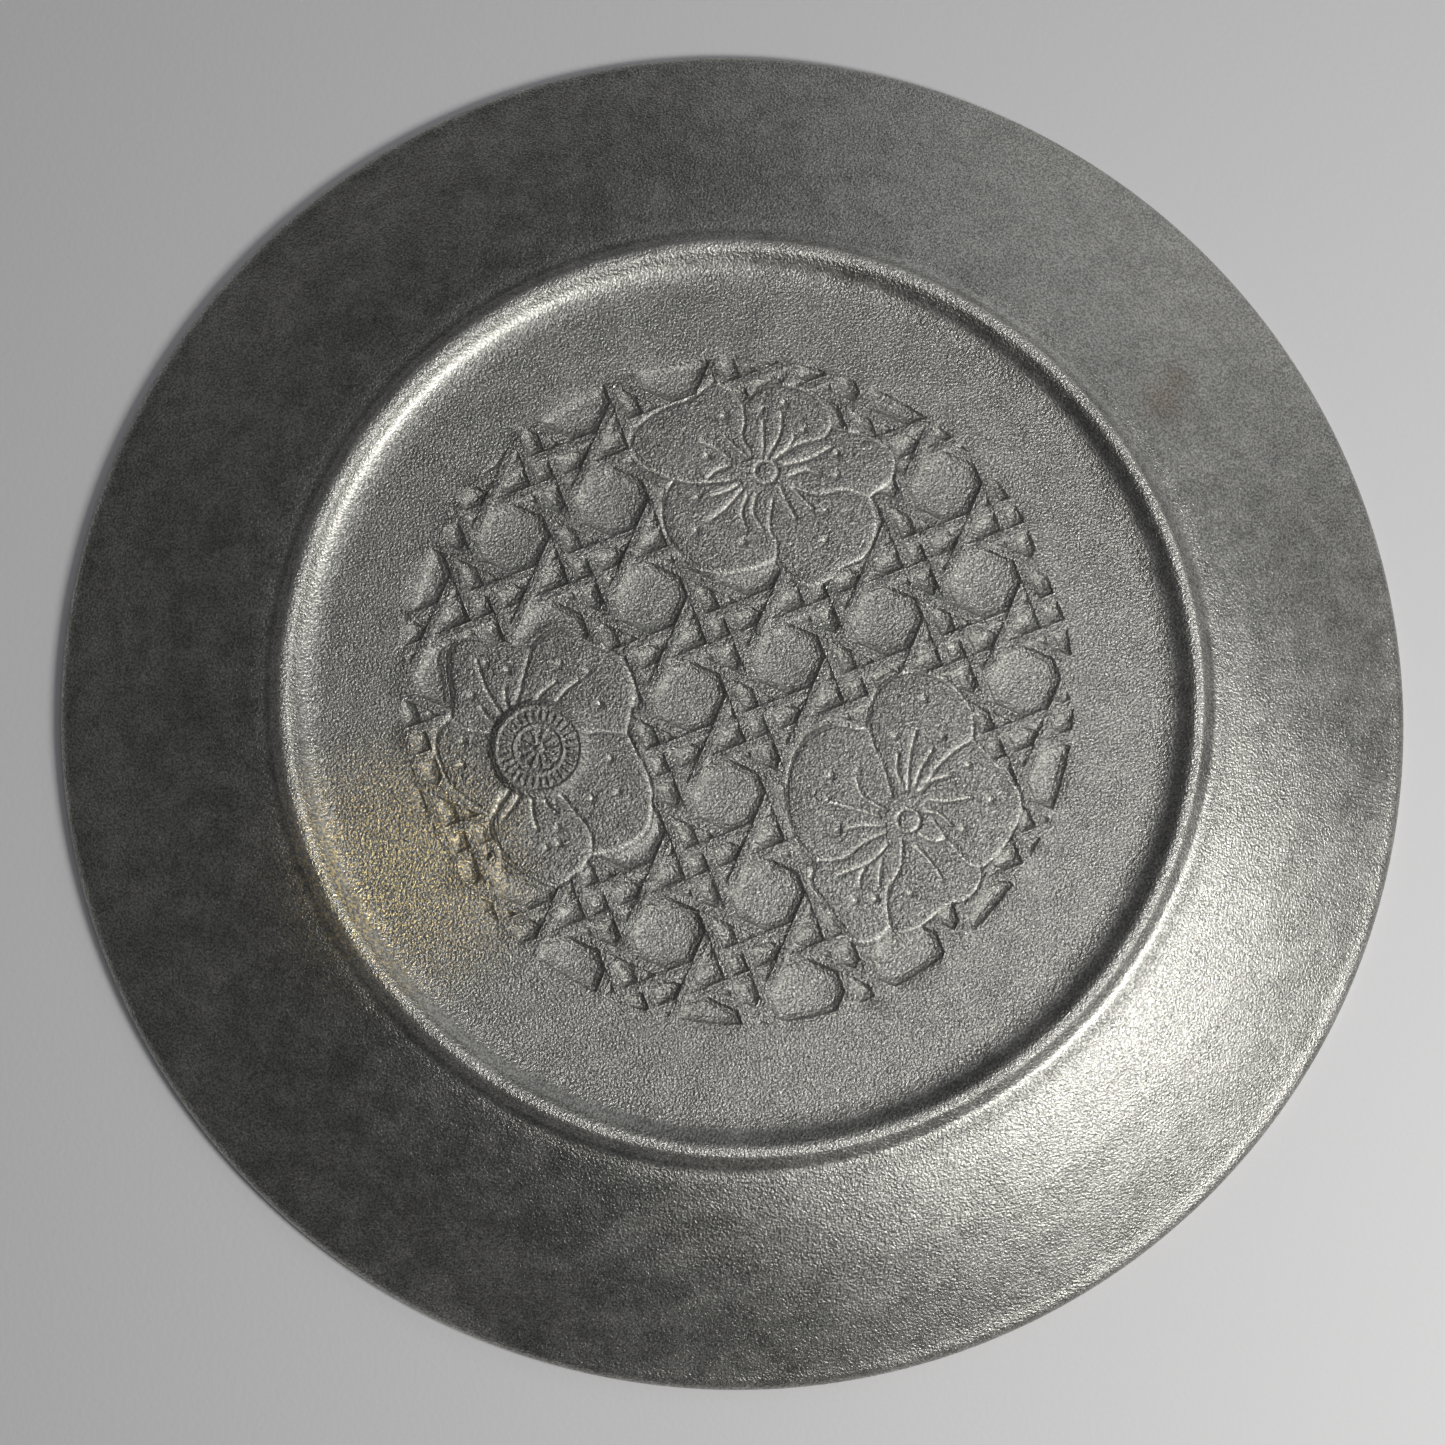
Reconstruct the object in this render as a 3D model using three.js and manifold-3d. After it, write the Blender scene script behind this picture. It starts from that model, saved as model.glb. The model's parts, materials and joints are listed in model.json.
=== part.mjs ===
// Paten plate: one round sand-cast plate, stored face down.
// The rim's edge rests on z = 0 and the foot ring on the underside is at the top.
// Millimetres, +Z out of the underside, X and Y in the plane of the rim.

import * as THREE from "three";
import { mergeVertices } from "three/addons/utils/BufferGeometryUtils.js";
import Module from "manifold-3d";

// ---- Driving sizes (mm) ----

const plateRadius = 135;         // outer edge of the rim
const overallHeight = 23;        // rim edge to the crest of the foot ring
const wallThickness = 3.2;       // well floor to the flat field on the underside
const rimEdge = 3;               // thickness of the casting at the rim's edge
const footRadius = 88.5;         // middle of the foot ring's flat crest
const crestWidth = 1.2;          // flat band the plate stands on
const fieldDepth = 3;            // how far the field lies below the crest
const ringRise = 2;              // how far the crest stands above the rim's back
const filletWidth = 6.4;         // inner wall of the foot ring, field to crest
const rimBulge = 1.15;           // how far the rim's slope bulges above a straight one

const fieldBand = 16.2;          // plain band of field between the woven panel and the inner wall
const medallionShift = [-0.7, 1.2];   // the panel's middle, from the plate's middle
const reliefDepth = 1;           // depth of the openings in the weave
const weavePitch = 20.63;        // from one eight-sided opening to the next
const weaveTurn = 21.4;          // direction of the weave, degrees from +X
const weaveStart = [-17.1, 17.4];   // middle of one eight-sided opening, from the panel's middle
const strandWidth = 1.7;         // width of one strand of cane
const uprightHalfGap = 0.38;     // pair of upright strands, in pitches from an opening's middle
const levelHalfGap = 0.365;      // pair of level strands, the same way

const centreRadius = 2.6;        // small round groove in the middle of a flower
const centreGroove = 0.8;        // its width
const centreDepth = 0.4;         // its depth
const roundelRadius = 9.3;       // plain raised disc over the third flower's middle
const roundelRise = 0.9;

const turnSteps = 96;            // facets around the plate

// ---- Flowers, each one outline around its five petals, from the panel's middle ----

const flowersDrawnFor = 65.3;    // panel radius the outlines are drawn for; they grow with the panel

const flowers = [
  {
    centre: [5.4, 42.6],
    disc: false,
    outline: [
      [30.6, 44.5], [29, 47.5], [24.5, 50], [20, 51], [18.2, 52], [17.8, 55],
      [15, 58.2], [10, 59.8], [5, 59.6], [2, 57], [0.6, 56], [-1.5, 58.5],
      [-4.8, 60], [-9.5, 57], [-15, 55], [-19.5, 51.5], [-21, 47.5], [-18, 43.5],
      [-12.5, 41.2], [-14, 38.5], [-15, 34], [-13.8, 29.5], [-11, 25.6], [-7, 23],
      [-2, 22.6], [3, 23.6], [7.2, 25.6], [10, 22], [14, 20.2], [17.5, 21.3],
      [20, 23.8], [24, 25.8], [26, 29], [26.7, 33.5], [25.5, 37.2], [29.5, 41],
    ],
  },
  {
    centre: [32.7, -25.8],
    disc: false,
    outline: [
      [54.6, -22], [52.5, -17.8], [48.5, -13.5], [45.5, -10], [45, -4], [42, 0],
      [38, 2.7], [33, 3], [28.5, 1.2], [25.6, -2.5], [25, -7], [23.5, -8.4],
      [19, -7.4], [14.5, -9], [11, -12.5], [9.2, -18], [9.3, -24], [11, -29.5],
      [14.5, -33.5], [14, -38.5], [17, -42.5], [19.5, -46.5], [22.5, -49.2],
      [26.5, -48.7], [28.9, -46], [31, -47.3], [35, -46], [39.5, -42.3],
      [44.5, -40.3], [46.6, -36.5], [47.5, -34.5], [50.8, -31], [53.5, -26.5],
    ],
  },
  {
    centre: [-38.7, -12.2],
    disc: true,
    outline: [
      [-20.3, -0.5], [-21.8, 4], [-25, 7], [-29.5, 8.6], [-33, 11.2], [-37, 10.6],
      [-40.2, 7], [-43.5, 8], [-48, 8.8], [-52.5, 9.6], [-55.8, 7], [-56, 2.5],
      [-55.3, -2], [-55.6, -6], [-57.5, -8.2], [-58.7, -11.5], [-57.6, -15.5],
      [-55.5, -19.5], [-51.5, -22.8], [-47.8, -25], [-47, -29.5], [-44.5, -33.8],
      [-40, -36.5], [-35.5, -38.3], [-32, -36.5], [-29, -32.6], [-22.5, -31],
      [-18.2, -28], [-17, -23.5], [-17.5, -18], [-19.7, -13.5], [-22, -9], [-21, -5],
    ],
  },
];

// ---- Sizes that follow from the driving ones ----

const crestZ = overallHeight;
const fieldZ = crestZ - fieldDepth;
const wellZ = fieldZ - wallThickness;
const crestInner = footRadius - crestWidth / 2;
const crestOuter = footRadius + crestWidth / 2;
const fieldRadius = crestInner - filletWidth;
const medallionRadius = fieldRadius - fieldBand;
const panelScale = medallionRadius / flowersDrawnFor;
const pitFloorZ = fieldZ - reliefDepth;
const cutterTopZ = fieldZ + 2;

// ---- Solids ----

const wasm = await Module();
wasm.setup();

/** Turns a closed three.js geometry into a solid that can be joined and cut. */
function solidOf(geometry) {
  const bare = geometry.index ? geometry.toNonIndexed() : geometry.clone();
  bare.deleteAttribute("normal");
  bare.deleteAttribute("uv");
  const merged = mergeVertices(bare, 1e-4);
  return new wasm.Manifold(new wasm.Mesh({
    numProp: 3,
    vertProperties: new Float32Array(merged.attributes.position.array),
    triVerts: new Uint32Array(merged.index.array),
  }));
}

/** Turns a solid back into a three.js geometry. */
function geometryOf(solid) {
  const mesh = solid.getMesh();
  const geometry = new THREE.BufferGeometry();
  geometry.setAttribute("position", new THREE.BufferAttribute(mesh.vertProperties, 3));
  geometry.setIndex(new THREE.BufferAttribute(mesh.triVerts, 1));
  geometry.computeVertexNormals();
  return geometry;
}

/** Half the casting's cross section as [radius, z], from the well's middle round to the field's. */
function crossSection() {
  const bendRadius = crestInner + 1.7;
  const rimBack = crestZ - ringRise;
  return [
    [0, wellZ],
    [bendRadius - 6, wellZ],
    [bendRadius - 1.5, wellZ - 0.4],
    [bendRadius + 2.5, wellZ - 1.4],
    ...rimSlope([bendRadius + 6.5, wellZ - 3], [plateRadius - 3.6, 0.5]),
    [plateRadius - 2.6, 0],
    [plateRadius - 0.9, 0],
    [plateRadius - 0.3, 0.3],
    [plateRadius, 1],
    [plateRadius - 0.2, rimEdge * 0.65],
    [plateRadius - 1.3, rimEdge],
    ...rimSlope([crestOuter + 5.2, rimBack - 1], [plateRadius - 3.5, rimEdge + 0.8]).reverse(),
    [crestOuter + 3.2, rimBack - 0.35],
    [crestOuter + 2.2, rimBack + 0.05],
    [crestOuter + 1.4, crestZ - ringRise * 0.72],
    [crestOuter + 0.5, crestZ - ringRise * 0.27],
    [crestOuter, crestZ],
    [crestInner, crestZ],
    [crestInner - 0.35, crestZ - fieldDepth * 0.17],
    [crestInner - 1.1, crestZ - fieldDepth * 0.39],
    [crestInner - 2.2, crestZ - fieldDepth * 0.635],
    [crestInner - 3.6, crestZ - fieldDepth * 0.845],
    [crestInner - 5, crestZ - fieldDepth * 0.96],
    [fieldRadius, fieldZ],
    [0, fieldZ],
  ];
}

/** The rim's slope as [radius, z] from its high inner end to its low outer end, bulging between. */
function rimSlope(high, low) {
  const bulges = [[0.18, 0.6], [0.45, 1], [0.7, 0.77]];
  const between = bulges.map(([along, share]) => [
    high[0] + (low[0] - high[0]) * along,
    high[1] + (low[1] - high[1]) * along + rimBulge * share,
  ]);
  return [high, ...between, low];
}

/** The plain casting, turned about the plate's axis. */
function plainCasting() {
  const profile = crossSection().map(([r, z]) => new THREE.Vector2(r, z));
  const turned = new THREE.LatheGeometry(profile, turnSteps);
  turned.rotateX(Math.PI / 2);
  return solidOf(turned);
}

/** A round disc or post standing on the panel. */
function roundPost(middle, radius, bottom, top, steps) {
  const post = new THREE.CylinderGeometry(radius, radius, top - bottom, steps);
  post.rotateX(Math.PI / 2);
  post.translate(
    middle[0] * panelScale + medallionShift[0],
    middle[1] * panelScale + medallionShift[1],
    (top + bottom) / 2,
  );
  return solidOf(post);
}

/** One straight strand: offset from an opening's middle, and its direction in degrees. */
function strand(offset, degrees) {
  const bar = new THREE.BoxGeometry(4 * medallionRadius, strandWidth, 4 * reliefDepth);
  bar.translate(0, offset, fieldZ);
  bar.rotateZ(THREE.MathUtils.degToRad(weaveTurn + degrees));
  bar.translate(
    weaveStart[0] * panelScale + medallionShift[0],
    weaveStart[1] * panelScale + medallionShift[1],
    0,
  );
  return solidOf(bar);
}

/** All the strands that can reach the panel: level and upright pairs and both slants. */
function weave() {
  const reach = Math.ceil(medallionRadius * 1.5 / weavePitch) + 1;
  const strands = [];
  for (let step = -reach; step <= reach; step += 1) {
    for (const side of [-1, 1]) {
      strands.push(strand((step + side * levelHalfGap) * weavePitch, 0));
      strands.push(strand((step + side * uprightHalfGap) * weavePitch, 90));
    }
    const slant = (step + 0.5) * weavePitch * Math.SQRT1_2;
    strands.push(strand(slant, 45));
    strands.push(strand(slant, -45));
  }
  return wasm.Manifold.union(strands);
}

/** One flower as a block as high as the strands. */
function flowerBlock(flower) {
  const corners = flower.outline.map(([x, y]) => new THREE.Vector2(
    x * panelScale + medallionShift[0],
    y * panelScale + medallionShift[1],
  ));
  const block = new THREE.ExtrudeGeometry(new THREE.Shape(corners), {
    depth: 4 * reliefDepth,
    bevelEnabled: false,
  });
  block.translate(0, 0, fieldZ - 2 * reliefDepth);
  return solidOf(block);
}

/** Everything cut out of the panel: the openings between the strands, clear of the flowers. */
function openings() {
  const panel = roundPost([0, 0], medallionRadius, pitFloorZ, cutterTopZ, turnSteps);
  let cut = panel.subtract(weave());
  for (const flower of flowers) {
    cut = cut.subtract(flowerBlock(flower));
  }
  const pits = cut.decompose().filter((pit) => pit.volume() > largestSliver());
  return wasm.Manifold.union(pits);
}

/** Openings smaller than this are left solid, because they would only be slivers. */
function largestSliver() {
  const cutterHeight = cutterTopZ - pitFloorZ;
  return strandWidth * strandWidth * 0.75 * cutterHeight;
}

/** The plain raised disc over a flower's middle. */
function roundel(flower) {
  const root = fieldZ - wallThickness / 2;
  return roundPost(flower.centre, roundelRadius, root, fieldZ + roundelRise, 48);
}

/** The round groove in a flower's middle, as the ring of metal to take away. */
function roundGroove(flower) {
  const floor = fieldZ - centreDepth;
  const outer = roundPost(flower.centre, centreRadius, floor, cutterTopZ, 24);
  const inner = roundPost(flower.centre, centreRadius - centreGroove, floor - 1, cutterTopZ + 1, 24);
  return outer.subtract(inner);
}

/** The finished casting. */
function plateSolid() {
  let solid = plainCasting().subtract(openings());
  for (const flower of flowers) {
    solid = flower.disc ? solid.add(roundel(flower)) : solid.subtract(roundGroove(flower));
  }
  return solid;
}

// ---- The part ----

const castMetal = new THREE.MeshStandardMaterial({
  color: 0x8c8d8a,
  metalness: 1,
  roughness: 0.42,
});

const plate = new THREE.Mesh(geometryOf(plateSolid()), castMetal);
plate.name = "plate";

const group = new THREE.Group();
group.name = "paten_plate";
group.add(plate);

export default group;
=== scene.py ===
"""Paten plate, lying face down: a sand-cast plate with a foot ring and a woven panel on its underside.

Laid out as a Blender add-on and run as a script. Lengths are in metres unless a name says mm.
"""

import json
import math

import bpy
import numpy as np
from mathutils import Matrix, Vector


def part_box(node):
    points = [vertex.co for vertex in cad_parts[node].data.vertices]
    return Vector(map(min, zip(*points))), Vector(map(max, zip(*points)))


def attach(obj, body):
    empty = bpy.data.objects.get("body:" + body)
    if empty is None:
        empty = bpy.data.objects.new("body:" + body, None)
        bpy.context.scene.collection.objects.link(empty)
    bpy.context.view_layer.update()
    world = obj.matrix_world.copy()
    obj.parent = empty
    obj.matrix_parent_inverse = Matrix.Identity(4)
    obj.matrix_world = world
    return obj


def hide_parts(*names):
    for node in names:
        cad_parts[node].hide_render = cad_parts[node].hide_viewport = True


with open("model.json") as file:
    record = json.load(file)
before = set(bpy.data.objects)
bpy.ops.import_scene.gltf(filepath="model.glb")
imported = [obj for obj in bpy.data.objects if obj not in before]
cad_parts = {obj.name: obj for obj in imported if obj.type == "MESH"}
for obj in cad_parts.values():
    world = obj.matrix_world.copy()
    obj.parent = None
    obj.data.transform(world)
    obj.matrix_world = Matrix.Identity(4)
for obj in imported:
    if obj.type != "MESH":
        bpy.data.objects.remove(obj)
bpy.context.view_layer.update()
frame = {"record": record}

bl_info = {
    "name": "Paten plate",
    "version": (1, 0, 0),
    "blender": (4, 5, 0),
    "location": "3D View > Sidebar > Plate",
    "description": "Makes a cast plate with a panel of woven cane and open flowers",
    "category": "Object",
}

MM = 0.001
CANE = "cane"
LINES = "lines"

# ---- Places read from the frame ----

PLATE_LOW, PLATE_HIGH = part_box("plate")
MOUNTS = {mount["name"]: mount["pos_m"] for mount in frame["record"]["mounts"]}
PLATE_RADIUS = (PLATE_HIGH[0] - PLATE_LOW[0]) / 2
CREST_Z = PLATE_HIGH[2]
FOOT_RADIUS = MOUNTS["foot_ring"][0]
WELL_Z = MOUNTS["well_floor"][2]

# ---- Small shapes and marks (mm where a name ends in _MM) ----

# The foot ring's inner wall: mm in from the crest's edge, and share of the field's depth fallen
INNER_WALL = ((6.9, 1.0), (5.6, 0.945), (4.2, 0.80), (2.7, 0.565), (1.5, 0.31), (0.6, 0.07))
# The rim's bulge: share of the way out along the slope, and share of the full bulge there
BULGE = ((0.18, 0.6), (0.45, 1.0), (0.7, 0.77))
STEP_SHARE = 0.28                  # share of an opening's depth that falls at once, at its edge
STEP_WIDTH = 0.18                  # share of the wall's width that this step takes
PANEL_END = 70 * MM                # no part of the panel lies further out than this
FLECKS_MM = ((-66, -34), 34)       # middle and reach of the warm flecks on the field
STAINS_MM = (((84, 59), 8), ((87, 64), 6))
SCRATCHES_MM = ((128, -17), 9)

# ---- Stage (metres) ----

KEY_LIGHT = {"place": (0.415, -0.24, 0.495), "size": 0.22, "tone": (1.0, 0.985, 0.96)}
TOP_LIGHT = {"place": (0.15, 0.15, 1.30), "size": 0.7, "tone": (0.96, 0.97, 1.0)}
SIDE_LIGHT = {"place": (0.60, 0.75, 0.42), "size": 0.9, "tone": (0.97, 0.98, 1.0)}
ROOM_TONE = (0.95, 0.95, 1.0, 1.0)
CAMERA_X = -0.0301
CAMERA_Y = -0.0786
CAMERA_LEAN = math.radians(5.42)   # about X
CAMERA_TILT = math.radians(-1.64)  # about Y
CAMERA_SHIFT = (0.0426, 0.0906)    # shares of the picture's width

# ---- Flowers (mm, from the middle of the panel) ----
# Each has five petals, counter-clockwise. seams[k] runs from the notch before petal k in to the
# flower's middle, and edges[k] is the outer edge of petal k, between its two notches.

FLOWERS = [
    {
        "middle": (5.4, 42.6),
        "seams": [
            [(25.6, 37.8), (21, 39.2), (15.8, 38.2), (11, 39.6)],
            [(18.3, 51.8), (16.6, 49.5), (12, 48.3), (9, 46.2)],
            [(0.8, 55.8), (1.2, 52.5), (0.7, 49.5), (2.6, 45.8)],
            [(-12.5, 41), (-8, 40.3), (-1, 40.9)],
            [(7.3, 25.4), (7.4, 28.5), (6, 31.5), (6.6, 37)],
        ],
        "edges": [
            [(29.5, 41), (30.7, 44.5), (29, 47.6), (24.5, 50.2), (20.5, 51)],
            [(17.6, 55), (15, 58), (10, 59.8), (5, 59.6), (2.2, 57.4)],
            [(-1.5, 58.5), (-4.8, 60), (-9.5, 57), (-15, 55), (-19.5, 51.5), (-21, 47.5), (-18, 43.5)],
            [(-14, 38.5), (-15, 34.5), (-13.9, 29.8), (-11, 25.8), (-7, 23.2), (-2, 22.6), (3, 23.6)],
            [(10, 22), (14, 20.2), (17.5, 21.4), (20.3, 23.8), (24.2, 25.8), (26.3, 29.5), (26.8, 33.5)],
        ],
        "veins": [
            [(4.8, 52.5), (4.9, 49), (4.7, 45.4)],
            [(8.4, 54.3), (8.2, 50.5), (5.6, 45.3)],
            [(10.9, 49.4), (9.6, 47.4), (7.2, 45.2)],
            [(18.2, 47.6), (14, 45.3), (9, 44)],
            [(16, 42.2), (13.3, 43), (10, 41.8)],
            [(8.3, 39.3), (9.4, 36.5), (11, 33.5)],
            [(10.6, 39.4), (12.4, 37.4), (14.4, 35.2)],
            [(1.8, 38), (0.6, 34.5), (1.6, 31)],
            [(3.5, 38), (2.8, 34.5), (4.8, 31)],
            [(0.8, 39.2), (-2.5, 35.3), (-5.8, 32.8)],
            [(0, 40), (-2.5, 38.6), (-5, 37.8)],
            [(-1.8, 43.8), (-4.3, 42.8), (-5.9, 41.3)],
            [(-7.2, 48.6), (-4, 47), (-1.5, 44.8)],
            [(-2.8, 49.8), (-0.6, 47.5), (1.8, 45.4)],
        ],
        "dots": [
            (4.5, 54.8), (9, 56.2), (12.8, 51), (19.3, 46.3), (19.2, 42), (17, 35), (16.8, 29),
            (-8.3, 30.8), (0.9, 28.6), (-8, 37.5), (-2.8, 53.5), (-6.2, 45.6),
        ],
        "roundel": False,
    },
    {
        "middle": (32.7, -25.8),
        "seams": [
            [(46.3, -34.8), (44, -33.8), (40.6, -30), (37.5, -25.9)],
            [(45.3, -10), (42, -12), (38.3, -15.4), (35.4, -20)],
            [(25.1, -8), (26.4, -12), (28.2, -16.2), (29.5, -21)],
            [(14.6, -33.6), (19.8, -33.2), (24, -30.2), (28.2, -28.2)],
            [(28.9, -46.3), (28.3, -42), (28.8, -38.6), (31, -35), (31.4, -30)],
        ],
        "edges": [
            [(48, -34), (50.8, -31), (53.6, -26.5), (54.6, -22), (52.5, -17.8), (48.5, -13.5)],
            [(45.4, -6.5), (44.6, -3.5), (42, 0), (38, 2.6), (33, 3.1), (28.6, 1.3), (25.8, -2.5)],
            [(22.5, -7.9), (18.5, -7.3), (14.5, -9), (11, -12.6), (9.3, -18), (9.3, -24), (11, -29.5)],
            [(13.8, -38.3), (16.8, -42.3), (19.3, -46.3), (22.3, -49.1), (26.3, -48.8)],
            [(31, -47.4), (35, -46), (39.5, -42.4), (44.5, -40.3), (46.7, -37)],
        ],
        "veins": [
            [(30.7, -13), (30.6, -16.5), (32, -20)],
            [(34.2, -8.6), (33, -14), (32.6, -19.8)],
            [(37.4, -12.2), (35, -16), (34, -19.3)],
            [(40.8, -17), (37.5, -18), (34.7, -20)],
            [(44.8, -21.3), (40.5, -22), (36.8, -21.7)],
            [(41, -26.6), (38.6, -24.5), (36, -24.1)],
            [(39.2, -37.3), (37, -34), (34, -30.8)],
            [(35, -28.5), (37.6, -29.7), (39.7, -29.4)],
            [(28.6, -30.6), (25, -34), (19, -36.4)],
            [(27.5, -33.5), (27, -36), (26.9, -38.5)],
            [(24, -35.2), (23.2, -37), (23.2, -38.6)],
            [(22.6, -17.8), (24, -21.3), (28.3, -23.8)],
            [(17.6, -22.3), (22, -23.5), (27, -25)],
            [(21, -27.4), (24, -26.8), (28, -26.8)],
        ],
        "dots": [
            (30.4, -9.4), (39.5, -9.4), (36, -2), (48.7, -21.8), (43.3, -27.5), (44.5, -15), (33, -40),
            (22.3, -41.4), (26.2, -41), (17.8, -17.2), (17.1, -21.9), (19, -27.7), (23, -16.3),
        ],
        "roundel": False,
    },
    {
        "middle": (-38.7, -12.2),
        "seams": [
            [(-28.4, -32.6), (-28.7, -28.6), (-31, -25.3), (-34.5, -21)],
            [(-21.8, -9), (-27, -8.7), (-31.5, -9.5)],
            [(-40.4, 7.3), (-41, 5), (-42, 1), (-43.2, -3.5)],
            [(-55.8, -6.2), (-52.5, -8.4), (-48, -9)],
            [(-47.8, -25.2), (-45.8, -21)],
        ],
        "edges": [
            [(-22.5, -31), (-18.2, -28), (-17, -23.5), (-17.4, -18.2), (-19.6, -13.5)],
            [(-21, -5), (-20.3, -0.5), (-21.9, 4), (-25, 7), (-29.5, 8.7), (-33, 11.2), (-37, 10.6)],
            [(-43.8, 8.2), (-48, 8.8), (-52.5, 9.6), (-55.8, 7), (-56, 2.5), (-55.3, -2)],
            [(-57.8, -8.6), (-58.7, -11.5), (-57.6, -15.5), (-55.5, -19.5), (-51.5, -22.8)],
            [(-47.1, -29.5), (-44.5, -33.8), (-40, -36.6), (-35.5, -38.4), (-32, -36.6)],
        ],
        "veins": [
            [(-50.8, 5), (-49, -0.5), (-46, -5.5)],
            [(-45.3, -0.3), (-45.2, -2.5), (-44.8, -4.4)],
            [(-49.8, -4.3), (-48.7, -6), (-47.3, -7.3)],
            [(-35.5, 1), (-38, -1), (-39.2, -2.9)],
            [(-31.2, 1.2), (-33.5, -0.6), (-35.3, -2.9)],
            [(-40, -22), (-39.8, -25), (-39, -27.8)],
            [(-42.3, -21), (-43.8, -23.5), (-45.2, -25.3)],
            [(-44.2, -20), (-45.8, -22.4), (-47.2, -25)],
            [(-37.6, -22.2), (-36.5, -23.7), (-35.3, -24.5)],
        ],
        "dots": [
            (-44.8, 3.1), (-51.6, -1.8), (-49, 4.5), (-29.2, 3), (-27, -3.3), (-34.7, 4.4), (-24.9, -14),
            (-28.4, -21.8), (-23.4, -20.5), (-37.1, -31.3), (-35, -27.5), (-34.7, -30.5),
            (-53.5, -15.3), (-53.3, -10.7),
        ],
        "roundel": True,
    },
]


# ---- Settings a user would change ----

def length(name, text, metres, least=0.0):
    """A length shown in the sidebar."""
    return bpy.props.FloatProperty(
        name=name, description=text, default=metres, min=least,
        subtype="DISTANCE", unit="LENGTH", precision=5,
    )


def offset(name, text, metres):
    """A distance to either side, shown in the sidebar."""
    return length(name, text, metres, least=-PLATE_RADIUS)


def number(name, text, value, **kind):
    """A plain number shown in the sidebar."""
    return bpy.props.FloatProperty(name=name, description=text, default=value, **kind)


def count(name, text, value, least):
    """A whole number shown in the sidebar."""
    return bpy.props.IntProperty(name=name, description=text, default=value, min=least)


def colour(name, text, red, green, blue):
    """A colour shown in the sidebar."""
    return bpy.props.FloatVectorProperty(
        name=name, description=text, default=(red, green, blue), size=3, min=0.0, max=1.0,
        subtype="COLOR",
    )


class PlateSizes(bpy.types.PropertyGroup):
    """Sizes of the plain casting."""
    rim_radius: length("Rim radius", "From the middle to the rim's edge", PLATE_RADIUS)
    crest_z: length("Crest height", "From the rim's edge to the foot ring's crest", CREST_Z)
    foot_radius: length("Foot ring radius", "To the middle of the crest", FOOT_RADIUS)
    crest_width: length("Crest width", "Flat band on top of the foot ring", 1.2 * MM)
    field_depth: length("Field depth", "From the crest down to the flat field", 3 * MM)
    ring_rise: length("Ring rise", "From the rim's back up to the crest", 2 * MM)
    well_z: length("Well floor", "Height of the well's floor, face down", WELL_Z)
    rim_edge: length("Rim edge", "Thickness of the casting at the rim's edge", 3 * MM)
    rim_bulge: length("Rim bulge", "How far the rim's slope bulges above a straight one", 1.15 * MM)
    waviness: length("Waviness", "How far the hand-finished surface wanders", 0.10 * MM)
    segments: count("Segments", "Steps around the plain part of the plate", 256, 32)
    fine_steps: count("Fine steps", "Steps of the panel's fine mesh for each segment", 16, 2)
    most_triangles: count("Most triangles", "Triangles left after thinning", 196000, 1000)


class WeaveSizes(bpy.types.PropertyGroup):
    """Sizes of the cane weave."""
    panel_radius: length("Panel radius", "Radius of the woven panel", 65.3 * MM)
    shift_x: offset("Panel shift X", "The panel's middle, from the plate's middle", -0.7 * MM)
    shift_y: offset("Panel shift Y", "The panel's middle, from the plate's middle", 1.2 * MM)
    pitch: length("Pitch", "From one eight-sided opening to the next", 20.63 * MM)
    turn: number("Turn", "Direction of the weave from +X", math.radians(21.4), subtype="ANGLE")
    start_x: offset("Start X", "Middle of one opening, from the panel's middle", -17.1 * MM)
    start_y: offset("Start Y", "Middle of one opening, from the panel's middle", 17.4 * MM)
    strand_width: length("Strand width", "Width of one strand of cane", 1.7 * MM)
    upright_gap: number("Upright pair", "Upright strands' place, in pitches from an opening", 0.38)
    level_gap: number("Level pair", "Level strands' place, in pitches from an opening", 0.365)
    depth: length("Opening depth", "Depth of the openings", 1.0 * MM)
    wall: length("Wall width", "How far an opening's dished wall reaches in", 2.6 * MM)
    rise: length("Crossing rise", "How far a strand rises where it passes over", 0.15 * MM)
    crown: length("Strand crown", "How far a strand's middle stands above its edges", 0.07 * MM)


class FlowerSizes(bpy.types.PropertyGroup):
    """Sizes of the flowers and the roundel."""
    petal_rise: length("Petal rise", "How far petals stand above the field", 0.16 * MM)
    groove_width: length("Outline width", "Half width of the groove round a petal", 0.42 * MM)
    groove_depth: length("Outline depth", "Depth of the groove round a petal", 0.34 * MM)
    vein_width: length("Vein width", "Half width of a vein's groove", 0.40 * MM)
    vein_depth: length("Vein depth", "Depth of a vein's groove", 0.42 * MM)
    dot_radius: length("Dot radius", "Radius of a small dimple", 0.66 * MM)
    dot_depth: length("Dot depth", "Depth of a small dimple", 0.55 * MM)
    middle_radius: length("Middle ring", "Radius of the groove in a flower's middle", 2.2 * MM)
    roundel_radius: length("Roundel radius", "Radius of the raised disc", 9.2 * MM)
    roundel_rise: length("Roundel rise", "Height of the raised disc", 0.9 * MM)


class MetalLook(bpy.types.PropertyGroup):
    """Colours and surface of the cast metal."""
    light: colour("Bright metal", "Where the metal is clean", 0.50, 0.495, 0.465)
    dull: colour("Dull metal", "Where the metal is tarnished", 0.32, 0.318, 0.295)
    stain: colour("Stain", "Brown stain on the rim", 0.26, 0.19, 0.12)
    tarnish: colour("Tarnish", "Warm flecks of tarnish on the field", 0.95, 0.76, 0.40)
    grain: length("Grain", "Size of the casting's grain", 0.50 * MM)
    grain_height: length("Grain height", "Height of the grain", 0.42 * MM)


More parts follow.
